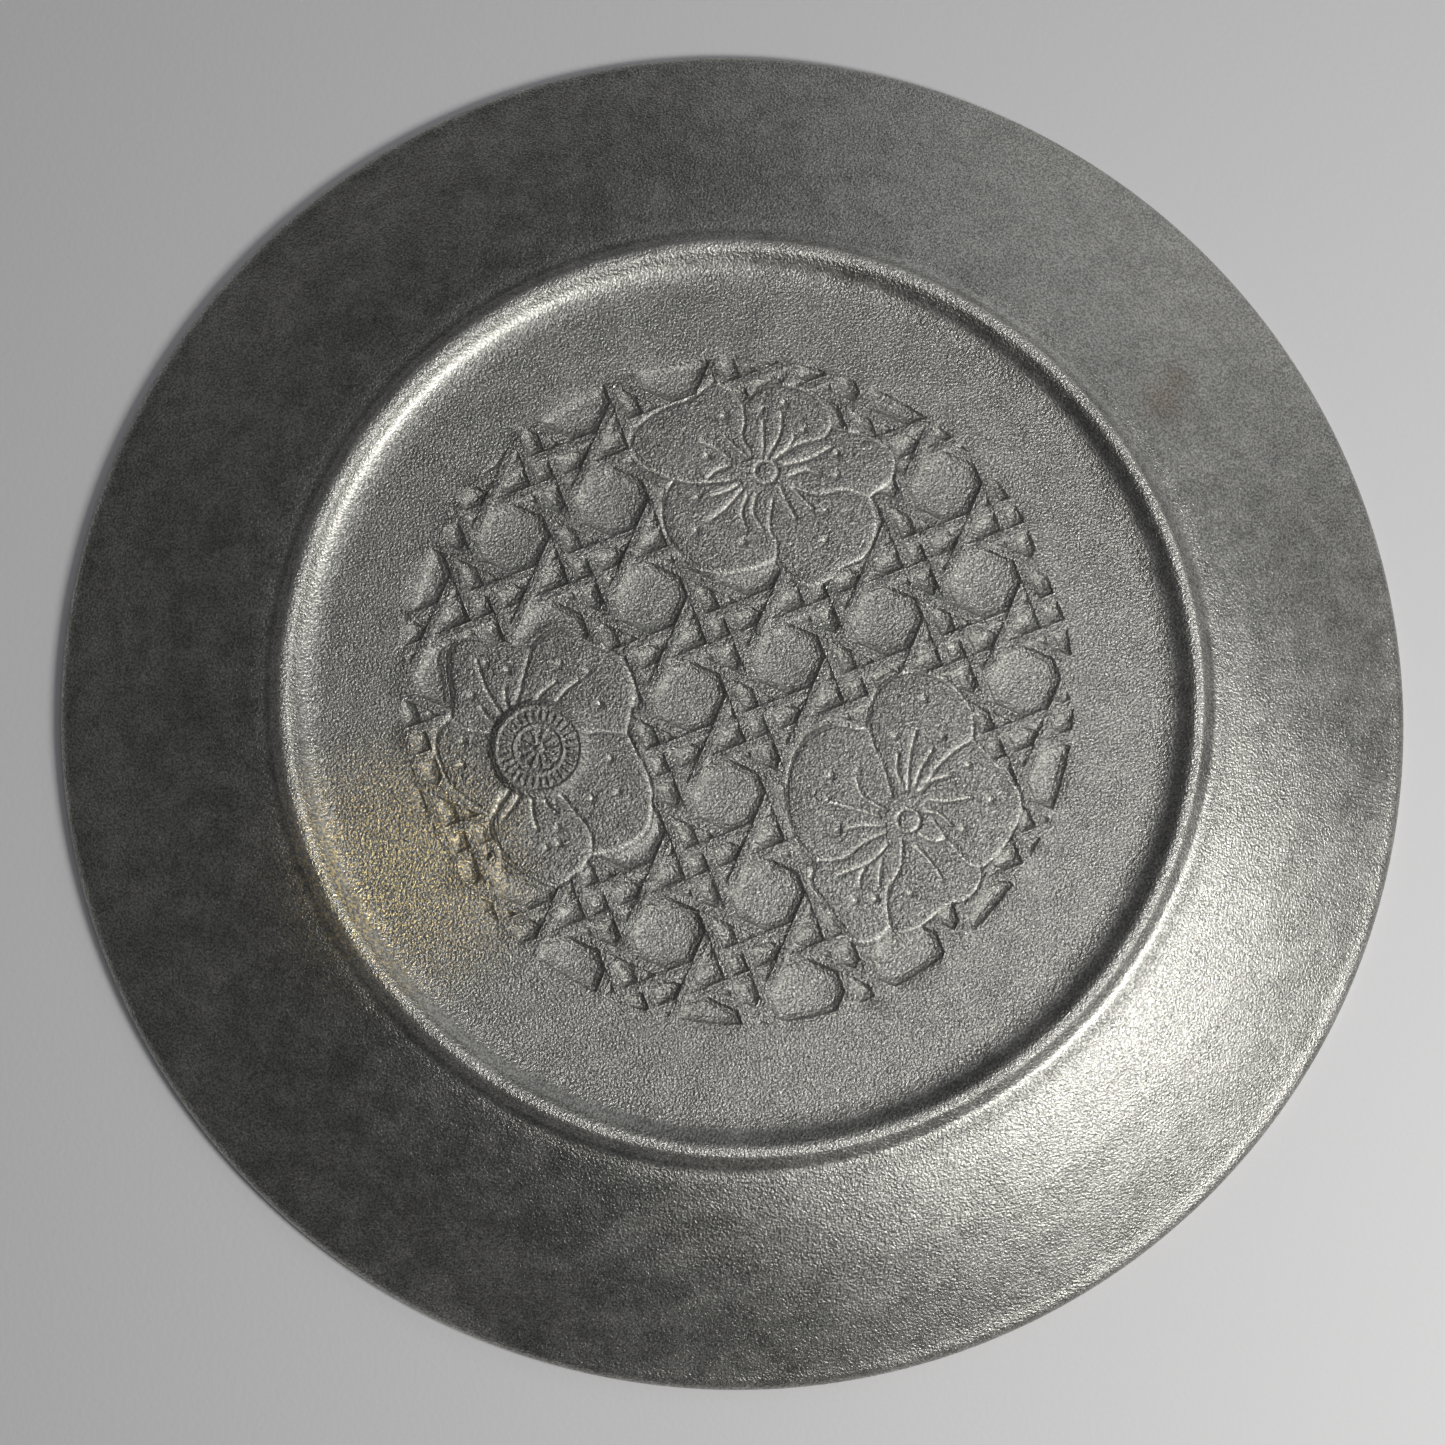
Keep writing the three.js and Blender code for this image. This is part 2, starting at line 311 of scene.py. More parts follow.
class StageSettings(bpy.types.PropertyGroup):
    """Floor, lights and camera."""
    floor_colour: colour("Floor", "Plain pale floor", 0.80, 0.80, 0.81)
    floor_half: length("Floor half width", "Half the width of the floor", 3.0)
    key_power: number("Key light", "Power of the main soft light", 2.8, unit="POWER")
    fill_power: number("Top light", "Power of the overhead fill", 1.3, unit="POWER")
    side_power: number("Side light", "Power of the wide light beyond the plate", 1.5, unit="POWER")
    air: number("Room light", "Light from all round", 0.07)
    lens_mm: number("Lens", "Focal length in millimetres", 65.07)
    camera_height: length("Camera height", "Above the floor", 0.520)


# ---- Small helpers ----

def mesh_object(name, mesh):
    """Puts a mesh in the scene as an object at the origin."""
    thing = bpy.data.objects.new(name, mesh)
    bpy.context.scene.collection.objects.link(thing)
    return thing


def drop(thing):
    """Takes a helper object and its data out of the file."""
    data = thing.data
    bpy.data.objects.remove(thing)
    bpy.data.meshes.remove(data)


def smooth_line(points, steps=4):
    """A smooth open line through the points (Catmull-Rom)."""
    ends = [2 * points[0] - points[1]] + list(points) + [2 * points[-1] - points[-2]]
    line = []
    for k in range(1, len(ends) - 2):
        before, a, b, after = ends[k - 1], ends[k], ends[k + 1], ends[k + 2]
        for step in range(steps):
            t = step / steps
            line.append(0.5 * (
                2 * a
                + (b - before) * t
                + (2 * before - 5 * a + 4 * b - after) * t ** 2
                + (3 * a - before - 3 * b + after) * t ** 3
            ))
    line.append(ends[-2])
    return line


class NodeDesk:
    """A node tree being written, with short calls for its sums."""

    def __init__(self, tree):
        self.tree = tree

    def node(self, kind, **settings):
        made = self.tree.nodes.new(kind)
        for key, value in settings.items():
            setattr(made, key, value)
        return made

    def feed(self, socket, value):
        """Links a socket to a value that may be another socket or a plain number."""
        if isinstance(value, bpy.types.NodeSocket):
            self.tree.links.new(value, socket)
        else:
            socket.default_value = value

    def sum(self, operation, *values, clamp=False):
        made = self.node("ShaderNodeMath", operation=operation, use_clamp=clamp)
        for socket, value in zip(made.inputs, values):
            self.feed(socket, value)
        return made.outputs[0]

    def add(self, a, b):
        return self.sum("ADD", a, b)

    def take(self, a, b):
        return self.sum("SUBTRACT", a, b)

    def times(self, a, b):
        return self.sum("MULTIPLY", a, b)

    def over(self, a, b):
        return self.sum("DIVIDE", a, b)

    def most(self, a, b):
        return self.sum("MAXIMUM", a, b)

    def least(self, a, b):
        return self.sum("MINIMUM", a, b)

    def size(self, a):
        return self.sum("ABSOLUTE", a)

    def flip(self, a):
        """1 - a"""
        return self.sum("SUBTRACT", 1.0, a)

    def sine(self, turns):
        return self.sum("SINE", self.times(turns, math.tau))

    def cosine(self, turns):
        return self.sum("COSINE", self.times(turns, math.tau))

    def fold(self, a):
        """a less its nearest whole number."""
        return self.take(a, self.sum("ROUND", a))

    def ease(self, value, low, high):
        """0 below low, 1 above high, smooth between them."""
        made = self.node("ShaderNodeMapRange", interpolation_type="SMOOTHSTEP")
        self.feed(made.inputs["Value"], value)
        self.feed(made.inputs["From Min"], low)
        self.feed(made.inputs["From Max"], high)
        return made.outputs["Result"]

    def bell(self, distance, width):
        """1 at distance 0, falling smoothly to nothing past about twice the width."""
        ratio = self.over(distance, width)
        return self.sum("EXPONENT", self.times(self.times(ratio, ratio), -1.0))

    def far(self, x, y):
        """How far (x, y) is from the middle."""
        return self.sum("SQRT", self.add(self.times(x, x), self.times(y, y)))

    def split(self, vector):
        made = self.node("ShaderNodeSeparateXYZ")
        self.feed(made.inputs[0], vector)
        return made.outputs

    def join(self, x, y, z):
        made = self.node("ShaderNodeCombineXYZ")
        for socket, value in zip(made.inputs, (x, y, z)):
            self.feed(socket, value)
        return made.outputs[0]


# ---- The plain casting ----

def cross_section(sizes):
    """Half the casting's section as (radius, z), from the flat field out over the foot ring and the
    rim's back, round the rim's edge, and in along the front to the well's floor."""
    crest = sizes.crest_z
    inner = sizes.foot_radius - sizes.crest_width / 2
    outer = sizes.foot_radius + sizes.crest_width / 2
    back = crest - sizes.ring_rise
    rim = sizes.rim_radius
    bend = inner + 1.7 * MM
    edge = sizes.rim_edge
    back_slope = rim_slope(
        (outer + 5.2 * MM, back - 1 * MM), (rim - 3.5 * MM, edge + 0.8 * MM), sizes.rim_bulge,
    )
    front_slope = rim_slope(
        (bend + 6.5 * MM, sizes.well_z - 3 * MM), (rim - 3.6 * MM, 0.5 * MM), sizes.rim_bulge,
    )
    return [
        *[(inner - far * MM, crest - sizes.field_depth * fall) for far, fall in INNER_WALL],
        (inner, crest),
        (outer, crest),
        (outer + 0.5 * MM, crest - sizes.ring_rise * 0.27),
        (outer + 1.4 * MM, crest - sizes.ring_rise * 0.72),
        (outer + 2.2 * MM, back + 0.05 * MM),
        (outer + 3.2 * MM, back - 0.35 * MM),
        *back_slope,
        (rim - 1.3 * MM, edge),
        (rim - 0.2 * MM, edge * 0.65),
        (rim, 1 * MM),
        (rim - 0.3 * MM, 0.3 * MM),
        (rim - 0.9 * MM, 0.0),
        (rim - 2.6 * MM, 0.0),
        *reversed(front_slope),
        (bend + 2.5 * MM, sizes.well_z - 1.4 * MM),
        (bend - 1.5 * MM, sizes.well_z - 0.4 * MM),
        (bend - 6 * MM, sizes.well_z),
    ]


def rim_slope(high, low, bulge):
    """The rim's slope from its high inner end to its low outer end, bulging between."""
    between = [
        (high[0] + (low[0] - high[0]) * along, high[1] + (low[1] - high[1]) * along + bulge * share)
        for along, share in BULGE
    ]
    return [high, *between, low]


def rounded(section):
    """The section with each corner cut twice, so that it turns smoothly."""
    points = [Vector(point) for point in section]
    for _ in range(2):
        cut = [points[0]]
        for a, b in zip(points, points[1:]):
            reach = min(0.25, 0.6 * MM / max((b - a).length, 1e-9))
            cut.append(a.lerp(b, reach))
            cut.append(b.lerp(a, reach))
        cut.append(points[-1])
        points = cut
    kept = [points[0]]
    for point in points[1:]:
        if (point - kept[-1]).length > 0.05 * MM:
            kept.append(point)
    return kept


def disc_grid(steps, radius):
    """A square grid of steps x steps cells spread evenly over a disc: its points and its faces."""
    side = np.linspace(-1.0, 1.0, steps + 1)
    a, b = np.meshgrid(side, side, indexing="ij")
    wide = np.abs(a) > np.abs(b)
    reach = np.where(wide, a, b)
    safe = np.where(reach == 0, 1.0, reach)
    angle = np.where(wide, b / safe * (math.pi / 4), math.pi / 2 - a / safe * (math.pi / 4))
    points = np.stack([radius * reach * np.cos(angle), radius * reach * np.sin(angle)], axis=-1)
    number = np.arange((steps + 1) ** 2).reshape(steps + 1, steps + 1)
    corners = [number[:-1, :-1], number[1:, :-1], number[1:, 1:], number[:-1, 1:]]
    faces = np.stack([corner.ravel() for corner in corners], axis=-1)
    border = np.concatenate([number[-1, :-1], number[:0:-1, -1], number[0, :0:-1], number[:-1, 0]])
    return points.reshape(-1, 2), faces, border


def plain_casting(sizes, fine_radius):
    """The casting without its relief: a fine disc in the middle of the field, and the turned rest of
    it, as one closed mesh. Returns the mesh and how many of its points belong to the disc."""
    segments = sizes.segments
    steps = segments * sizes.fine_steps // 4
    field_z = sizes.crest_z - sizes.field_depth
    flat, fine_faces, border = disc_grid(steps, fine_radius)
    fine = np.column_stack([flat, np.full(len(flat), field_z)])

    section = rounded([(fine_radius + 1.5 * MM, field_z)] + cross_section(sizes))
    turn = np.arange(segments) * math.tau / segments
    rings = [
        np.column_stack([r * np.cos(turn), r * np.sin(turn), np.full(segments, z)])
        for r, z in section
    ]
    pole = np.array([[0.0, 0.0, sizes.well_z]])
    points = np.vstack([fine, *rings, pole])

    first = len(fine)
    here = np.arange(segments)
    after = (here + 1) % segments
    quads = [fine_faces]
    for k in range(len(rings) - 1):
        low, high = first + k * segments, first + (k + 1) * segments
        quads.append(np.stack([low + here, high + here, high + after, low + after], axis=-1))
    last = first + (len(rings) - 1) * segments
    fan = np.stack([last + here, np.full(segments, len(points) - 1), last + after], axis=-1)
    joint = seam_triangles(border, first, segments, sizes.fine_steps)
    return closed_mesh(points, np.vstack(quads), np.vstack([fan, joint])), len(fine)


def seam_triangles(border, first, segments, ratio):
    """Triangles between the disc's fine border and the coarser first ring round it."""
    start = segments // 8
    triangles = []
    for k in range(segments):
        near = first + (k - start) % segments
        far = first + (k + 1 - start) % segments
        fine = [border[(k * ratio + step) % len(border)] for step in range(ratio + 1)]
        half = ratio // 2
        triangles += [(near, fine[step + 1], fine[step]) for step in range(half)]
        triangles.append((near, far, fine[half]))
        triangles += [(far, fine[step + 1], fine[step]) for step in range(half, ratio)]
    return np.array(triangles)


def closed_mesh(points, quads, triangles):
    """A mesh from point, quad and triangle arrays, smooth, with its faces pointing out."""
    mesh = bpy.data.meshes.new("plain_casting")
    mesh.vertices.add(len(points))
    mesh.vertices.foreach_set("co", points.astype(np.float32).ravel())
    loops = np.concatenate([quads.ravel(), triangles.ravel()])
    sides = np.concatenate([np.full(len(quads), 4), np.full(len(triangles), 3)])
    mesh.loops.add(len(loops))
    mesh.loops.foreach_set("vertex_index", loops.astype(np.int32))
    mesh.polygons.add(len(sides))
    starts = np.concatenate([[0], np.cumsum(sides)[:-1]])
    mesh.polygons.foreach_set("loop_start", starts.astype(np.int32))
    mesh.polygons.foreach_set("use_smooth", np.ones(len(sides), dtype=bool))
    mesh.update(calc_edges=True)
    mesh.validate()
    return mesh


# ---- Flat patterns that the relief follows ----

def panel_point(point):
    """A flower's point (mm from the panel's middle) as a flat vector in metres."""
    return Vector((point[0] * MM, point[1] * MM, 0.0))


def petal_outline(flower, k):
    """Petal k as one closed outline: out from the middle, round the edge and back in."""
    middle = panel_point(flower["middle"])
    seams = flower["seams"]
    before = [panel_point(p) for p in seams[k]]
    after = [panel_point(p) for p in seams[(k + 1) % len(seams)]]
    edge = [before[0]] + [panel_point(p) for p in flower["edges"][k]] + [after[0]]
    out = smooth_line(before)[::-1]
    back = smooth_line(after)
    return [middle] + out + smooth_line(edge)[1:-1] + back


def petals_mesh():
    """Every petal as a flat face."""
    points, faces = [], []
    for flower in FLOWERS:
        for k in range(len(flower["seams"])):
            outline = petal_outline(flower, k)
            faces.append(list(range(len(points), len(points) + len(outline))))
            points += outline
    mesh = bpy.data.meshes.new("petals")
    mesh.from_pydata(points, [], faces)
    return mesh


def lines_mesh(name, lines):
    """Open lines as edges."""
    points, edges = [], []
    for line in lines:
        edges += [(len(points) + k, len(points) + k + 1) for k in range(len(line) - 1)]
        points += line
    mesh = bpy.data.meshes.new(name)
    mesh.from_pydata(points, edges, [])
    return mesh


def outline_lines():
    """The seams between petals and the petals' outer edges, each once."""
    lines = []
    for flower in FLOWERS:
        seams = flower["seams"]
        for k, seam in enumerate(seams):
            start = panel_point(seam[0])
            end = panel_point(seams[(k + 1) % len(seams)][0])
            lines.append(smooth_line([panel_point(p) for p in seam]))
            lines.append(smooth_line([start, *[panel_point(p) for p in flower["edges"][k]], end]))
    return lines


def vein_lines(sizes):
    """The veins, and the round groove in the middle of a flower with no roundel."""
    lines = []
    for flower in FLOWERS:
        lines += [smooth_line([panel_point(p) for p in vein]) for vein in flower["veins"]]
        if not flower["roundel"]:
            middle = panel_point(flower["middle"])
            lines.append([
                middle + Vector((math.cos(turn), math.sin(turn), 0.0)) * sizes.middle_radius
                for turn in np.linspace(0.0, math.tau, 33)
            ])
    return lines


def dots_mesh():
    """The small dimples' places."""
    mesh = bpy.data.meshes.new("dots")
    mesh.from_pydata([panel_point(p) for flower in FLOWERS for p in flower["dots"]], [], [])
    return mesh


# ---- The relief: weave, petals, veins, dots and roundel, as one node tree ----

WEAVE_NUMBERS = ("Turn", "Pitch", "Upright pair", "Level pair")
RELIEF_NUMBERS = WEAVE_NUMBERS + (
    "Panel radius", "Strand width", "Opening depth", "Wall width", "Crossing rise", "Strand crown",
    "Petal rise", "Outline width", "Outline depth", "Vein width", "Vein depth",
    "Dot radius", "Dot depth", "Roundel radius", "Roundel rise", "Waviness",
)
RELIEF_PLACES = ("Panel middle", "Weave start", "Roundel middle")
RELIEF_PATTERNS = ("Petals", "Outlines", "Veins", "Dots")


def relief_inputs(tree):
    def socket(name, kind):
        return tree.interface.new_socket(name=name, in_out="INPUT", socket_type=kind)

    socket("Geometry", "NodeSocketGeometry")
    for name in RELIEF_NUMBERS:
        socket(name, "NodeSocketFloat")
    for name in RELIEF_PLACES:
        socket(name, "NodeSocketVector")
    for name in RELIEF_PATTERNS:
        socket(name, "NodeSocketObject")
    socket("Metal", "NodeSocketMaterial")
    tree.interface.new_socket(name="Geometry", in_out="OUTPUT", socket_type="NodeSocketGeometry")


def nearness(desk, pattern, element, place):
    """Distance from a place to a pattern's faces, edges or points."""
    info = desk.node("GeometryNodeObjectInfo", transform_space="ORIGINAL")
    desk.feed(info.inputs["Object"], pattern)
    near = desk.node("GeometryNodeProximity", target_element=element)
    desk.feed(near.inputs[0], info.outputs["Geometry"])
    desk.feed(near.inputs["Sample Position"], place)
    return near.outputs["Distance"]


def wall_drop(desk, reach, width, depth):
    """How far a wall has fallen at a distance past an edge: a quick drop, then a shallow dish."""
    share = desk.sum("DIVIDE", desk.most(reach, 0.0), width, clamp=True)
    dish = desk.flip(desk.sum("POWER", desk.flip(share), 2.0))
    step = desk.ease(share, 0.0, STEP_WIDTH)
    fall = desk.add(desk.times(dish, 1.0 - STEP_SHARE), desk.times(step, STEP_SHARE))
    return desk.times(depth, fall)


def strand_height(desk, given, away, rise):
    """Height made by one set of strands, at a distance from the strand's middle line."""
    half = desk.times(given["Strand width"], 0.5)
    reach = desk.take(away, half)
    across = desk.sum("DIVIDE", away, half, clamp=True)
    crown = desk.times(given["Strand crown"], desk.flip(desk.sum("POWER", across, 4.0)))
    calm = desk.flip(desk.sum("DIVIDE", desk.most(reach, 0.0), given["Wall width"], clamp=True))
    drop_here = wall_drop(desk, reach, given["Wall width"], given["Opening depth"])
    return desk.take(desk.add(desk.times(rise, calm), crown), drop_here)


def strands_near(desk, given, x, y):
    """The cane weave: pairs of level and upright strands, and two slanting sets. For each set, how far
    a place is from the nearest strand's middle line, and the wave along the strand there, which makes
    it pass over and under the ones it meets."""
    start = desk.split(given["Weave start"])
    from_x, from_y = desk.take(x, start[0]), desk.take(y, start[1])
    c, s = desk.sum("COSINE", given["Turn"]), desk.sum("SINE", given["Turn"])
    u = desk.over(desk.add(desk.times(from_x, c), desk.times(from_y, s)), given["Pitch"])
    v = desk.over(desk.take(desk.times(from_y, c), desk.times(from_x, s)), given["Pitch"])
    u_in, v_in = desk.fold(u), desk.fold(v)
    slant_step = desk.times(given["Pitch"], math.sqrt(0.5))

    def pair(inside, place, along, sign):
        away = desk.times(desk.size(desk.take(desk.size(inside), place)), given["Pitch"])
        side = desk.times(desk.sum("SIGN", inside), sign)
        return away, desk.times(side, desk.sine(along))

    def slant(inside, sign):
        return desk.times(desk.size(inside), slant_step), desk.times(desk.cosine(u), sign)

    return [
        pair(u_in, given["Upright pair"], v, -1.0),
        pair(v_in, given["Level pair"], u, 1.0),
        slant(desk.fold(desk.take(desk.add(u, v), 0.5)), -1.0),
        slant(desk.fold(desk.take(desk.take(u, v), 0.5)), 1.0),
    ]


def roundel_height(desk, given, x, y):
    """A raised disc with two plain rings, a band of short bars and a small star of bars. Returns its
    height and 1 inside it, 0 outside."""
    middle = desk.split(given["Roundel middle"])
    from_x, from_y = desk.take(x, middle[0]), desk.take(y, middle[1])
    out = desk.far(from_x, from_y)
    turns = desk.over(desk.sum("ARCTAN2", from_y, from_x), math.tau)
    share = desk.over(out, given["Roundel radius"])
    side = desk.flip(desk.ease(share, 0.95, 1.09))
    ring = desk.add(
        desk.bell(desk.size(desk.take(share, 0.90)), 0.035),
        desk.bell(desk.size(desk.take(share, 0.52)), 0.035),
    )
    bars = desk.ease(desk.cosine(desk.times(turns, 30.0)), -0.1, 0.5)
    band = desk.times(desk.ease(share, 0.58, 0.62), desk.flip(desk.ease(share, 0.79, 0.83)))
    star = desk.ease(desk.cosine(desk.times(turns, 10.0)), 0.0, 0.6)
    star_band = desk.times(desk.ease(share, 0.13, 0.17), desk.flip(desk.ease(share, 0.38, 0.44)))
    knob = desk.flip(desk.ease(share, 0.05, 0.11))
    marks = desk.add(desk.add(ring, desk.times(bars, band)), desk.add(desk.times(star, star_band), knob))
    height = desk.times(given["Roundel rise"], desk.add(desk.times(side, 0.72), desk.times(marks, 0.28)))
    return height, side


def relief_tree():
    """The node tree that raises and sinks the panel's surface."""
    tree = bpy.data.node_groups.new("Panel relief", "GeometryNodeTree")
    relief_inputs(tree)
    desk = NodeDesk(tree)
    given = desk.node("NodeGroupInput").outputs
    place = desk.split(desk.node("GeometryNodeInputPosition").outputs[0])
    panel = desk.split(given["Panel middle"])
    x, y = desk.take(place[0], panel[0]), desk.take(place[1], panel[1])
    out = desk.far(x, y)
    inside = desk.take(given["Panel radius"], out)
    on_panel = desk.sum("GREATER_THAN", inside, 0.0)
    flat = desk.join(x, y, 0.0)

    lift = desk.times(given["Crossing rise"], desk.ease(inside, 0.0, 5 * MM))
    weave = desk.times(given["Opening depth"], -1.0)
    for away, wave in strands_near(desk, given, x, y):
        weave = desk.most(weave, strand_height(desk, given, away, desk.times(lift, wave)))

    past_petal = nearness(desk, given["Petals"], "FACES", flat)
    petal_side = desk.take(
        given["Petal rise"], wall_drop(desk, past_petal, given["Wall width"], given["Opening depth"]),
    )
    on_petal = desk.sum("LESS_THAN", past_petal, 0.01 * MM)
    from_outline = nearness(desk, given["Outlines"], "EDGES", flat)
    from_vein = nearness(desk, given["Veins"], "EDGES", flat)
    from_dot = nearness(desk, given["Dots"], "POINTS", flat)
    outline = desk.times(given["Outline depth"], desk.bell(from_outline, given["Outline width"]))
    vein = desk.times(given["Vein depth"], desk.bell(from_vein, given["Vein width"]))
    dot = desk.times(given["Dot depth"], desk.bell(from_dot, given["Dot radius"]))
    cuts = desk.add(desk.most(vein, dot), outline)

    field_side = desk.times(wall_drop(desk, inside, given["Wall width"], given["Opening depth"]), -1.0)
    woven = desk.most(desk.most(weave, petal_side), field_side)
    pick = desk.node("GeometryNodeSwitch", input_type="FLOAT")
    desk.feed(pick.inputs["Switch"], on_petal)
    desk.feed(pick.inputs["False"], desk.take(woven, outline))
    desk.feed(pick.inputs["True"], desk.take(given["Petal rise"], cuts))

    disc, on_disc = roundel_height(desk, given, x, y)
    carved = desk.add(desk.times(pick.outputs[0], desk.flip(on_disc)), disc)
    relief = desk.times(carved, on_panel)

    up = desk.split(desk.node("GeometryNodeInputNormal").outputs[0])[2]
    facing_up = desk.ease(up, 0.97, 0.99)
    past_outline = desk.ease(past_petal, 0.0, 0.5 * MM)
    cane = desk.times(desk.times(past_outline, facing_up), on_panel)
    # The drawn lines (veins, outlines and dots), noted so that the metal's colour is painted brighter
    # along them: a painted highlight for the light their grooves catch.
    lines = desk.most(desk.bell(from_vein, 0.28 * MM), desk.bell(from_outline, 0.22 * MM))
    lines = desk.times(desk.most(lines, desk.bell(from_dot, 0.45 * MM)), desk.flip(on_disc))
    notes = {CANE: cane, LINES: desk.times(lines, on_panel)}
    finish_relief(desk, given, desk.times(relief, facing_up), notes)
    return tree


def finish_relief(desk, given, relief, notes):
    """Adds the slow wander of a hand-finished casting, moves the points, notes where cane and drawn
    lines are, and ends the tree."""
    noise = desk.node("ShaderNodeTexNoise", noise_dimensions="3D")
    desk.feed(noise.inputs["Scale"], 28.0)
    desk.feed(noise.inputs["Detail"], 2.0)
    wander = desk.times(desk.take(noise.outputs[0], 0.5), given["Waviness"])
    place = desk.split(desk.node("GeometryNodeInputPosition").outputs[0])
    off_floor = desk.ease(place[2], 0.5 * MM, 4 * MM)
    under_crest = desk.flip(desk.ease(place[2], CREST_Z - 0.9 * MM, CREST_Z - 0.1 * MM))
    steady = desk.times(wander, desk.times(off_floor, under_crest))
    moved = desk.node("GeometryNodeSetPosition")
    desk.feed(moved.inputs["Geometry"], given["Geometry"])
    desk.feed(moved.inputs["Offset"], desk.join(0.0, 0.0, desk.add(relief, steady)))
    shaped = moved.outputs[0]
    for name, value in notes.items():
        noted = desk.node("GeometryNodeStoreNamedAttribute", data_type="FLOAT", domain="POINT")
        desk.feed(noted.inputs["Geometry"], shaped)
        desk.feed(noted.inputs["Name"], name)
        desk.feed(noted.inputs["Value"], value)
        shaped = noted.outputs[0]
    real = desk.node("GeometryNodeRealizeInstances")
    desk.feed(real.inputs[0], shaped)
    coated = desk.node("GeometryNodeSetMaterial")
    desk.feed(coated.inputs["Geometry"], real.outputs[0])
    desk.feed(coated.inputs["Material"], given["Metal"])
    desk.feed(desk.node("NodeGroupOutput").inputs[0], coated.outputs[0])


def give(modifier, values):
    """Sets a modifier's inputs by the sockets' identifiers."""
    names = {
        item.name: item.identifier
        for item in modifier.node_group.interface.items_tree
        if item.item_type == "SOCKET" and item.in_out == "INPUT"
    }
    for name, value in values.items():
        modifier[names[name]] = value


def labelled(groups, names):
    """The settings whose labels in the sidebar are among the names."""
    return {
        setting.name: getattr(group, setting.identifier)
        for group in groups
        for setting in group.bl_rna.properties
        if setting.name in names
    }


def relief_values(plate, weave, flowers, patterns, metal):
    """What the relief's inputs are set to."""
    disc = next(flower["middle"] for flower in FLOWERS if flower["roundel"])
    return {
        **labelled((plate, weave, flowers), RELIEF_NUMBERS),
        "Panel middle": (weave.shift_x, weave.shift_y, 0.0),
        "Weave start": (weave.start_x, weave.start_y, 0.0),
        "Roundel middle": tuple(panel_point(disc)),
        **patterns,
        "Metal": metal,
    }


def triangles_in(mesh):
    """How many triangles a mesh comes to."""
    return sum(len(face.vertices) - 2 for face in mesh.polygons)


def thin(thing, fine_count, most):
    """Merges the fine disc's points where the surface is flat, until few enough triangles are left."""
    group = thing.vertex_groups.new(name="fine disc")
    group.add(list(range(fine_count)), 1.0, "REPLACE")
    fewer = thing.modifiers.new("thin", "DECIMATE")
    fewer.ratio = min(1.0, most / triangles_in(thing.data))
    fewer.vertex_group = group.name
    fewer.vertex_group_factor = 1.0


def as_plain_mesh(thing, name):
    """The object's finished shape as a new plain object; the first one is dropped."""
    depsgraph = bpy.context.evaluated_depsgraph_get()
    mesh = bpy.data.meshes.new_from_object(thing.evaluated_get(depsgraph))
    mesh.name = name
    thing.modifiers.clear()
    drop(thing)
    return mesh_object(name, mesh)


# ---- Cast metal ----

def noise(desk, place, scale, detail=2.0, roughness=0.5):
    """Noise around 0.5, at a place."""
    made = desk.node("ShaderNodeTexNoise", noise_dimensions="3D")
    given = {"Vector": place, "Scale": scale, "Detail": detail, "Roughness": roughness}
    for name, value in given.items():
        desk.feed(made.inputs[name], value)
    return made.outputs[0]


def blend(desk, share, one, other):
    """One colour going over to another as the share goes from 0 to 1."""
    made = desk.node("ShaderNodeMix", data_type="RGBA")
    for socket, value in ((made.inputs[0], share), (made.inputs[6], one), (made.inputs[7], other)):
        desk.feed(socket, value)
    return made.outputs[2]


def spot(desk, x, y, middle, reach):
    """1 at a place (mm), falling smoothly to 0 at a distance (mm)."""
    away_x, away_y = desk.take(x, middle[0] * MM), desk.take(y, middle[1] * MM)
    return desk.flip(desk.ease(desk.far(away_x, away_y), 0.0, reach * MM))


def opaque(tone):
    """A colour property as a solid RGBA colour."""
    return (*tone, 1.0)


def past_strand(desk, weave, x, y):
    """How far a place is past the edge of the nearest strand; less than 0 on a strand."""
    given = labelled([weave], WEAVE_NUMBERS)
    given["Weave start"] = (weave.start_x, weave.start_y, 0.0)
    nearest = weave.pitch
    for away, _ in strands_near(desk, given, desk.take(x, weave.shift_x), desk.take(y, weave.shift_y)):
        nearest = desk.least(nearest, away)
    return desk.take(nearest, weave.strand_width / 2)


def noted(desk, name):
    """A number that the relief noted on the mesh."""
    return desk.node("ShaderNodeAttribute", attribute_name=name).outputs["Fac"]


def metal_places(desk, plate, weave, place):
    """What a place on the plate is: each entry but x, y and out goes from 0 to 1."""
    x, y, z = desk.split(place)
    out = desk.far(x, y)
    field_z = plate.crest_z - plate.field_depth
    on_panel = desk.flip(desk.ease(out, PANEL_END, PANEL_END + 1 * MM))
    cane = noted(desk, CANE)
    reach = past_strand(desk, weave, x, y)
    return {
        "x": x,
        "y": y,
        "out": out,
        "worn": desk.ease(z, plate.crest_z - 0.8 * MM, plate.crest_z - 0.15 * MM),
        "lines": noted(desk, LINES),
        # A band along each strand's edge; in the colour it carries a painted highlight, and it also
        # makes the metal smoother and ridged there.
        "edge": desk.times(desk.bell(desk.add(reach, 0.05 * MM), 0.16 * MM), cane),
        "strand": desk.times(desk.flip(desk.ease(reach, -0.25 * MM, 0.0)), cane),
        "opening": desk.times(desk.ease(reach, -0.05 * MM, 0.30 * MM), cane),
        "sunk": desk.times(desk.ease(desk.take(field_z, z), 0.15 * MM, 0.6 * MM), on_panel),
        "raised": desk.times(desk.ease(desk.take(z, field_z), 0.02 * MM, 0.12 * MM), on_panel),
        "cloud": desk.ease(noise(desk, place, 20.0, 6.0, 0.7), 0.25, 0.75),
        "patch": desk.ease(noise(desk, place, 160.0, 5.0, 0.7), 0.25, 0.75),
        "scratch": scratches(desk, x, y),
    }


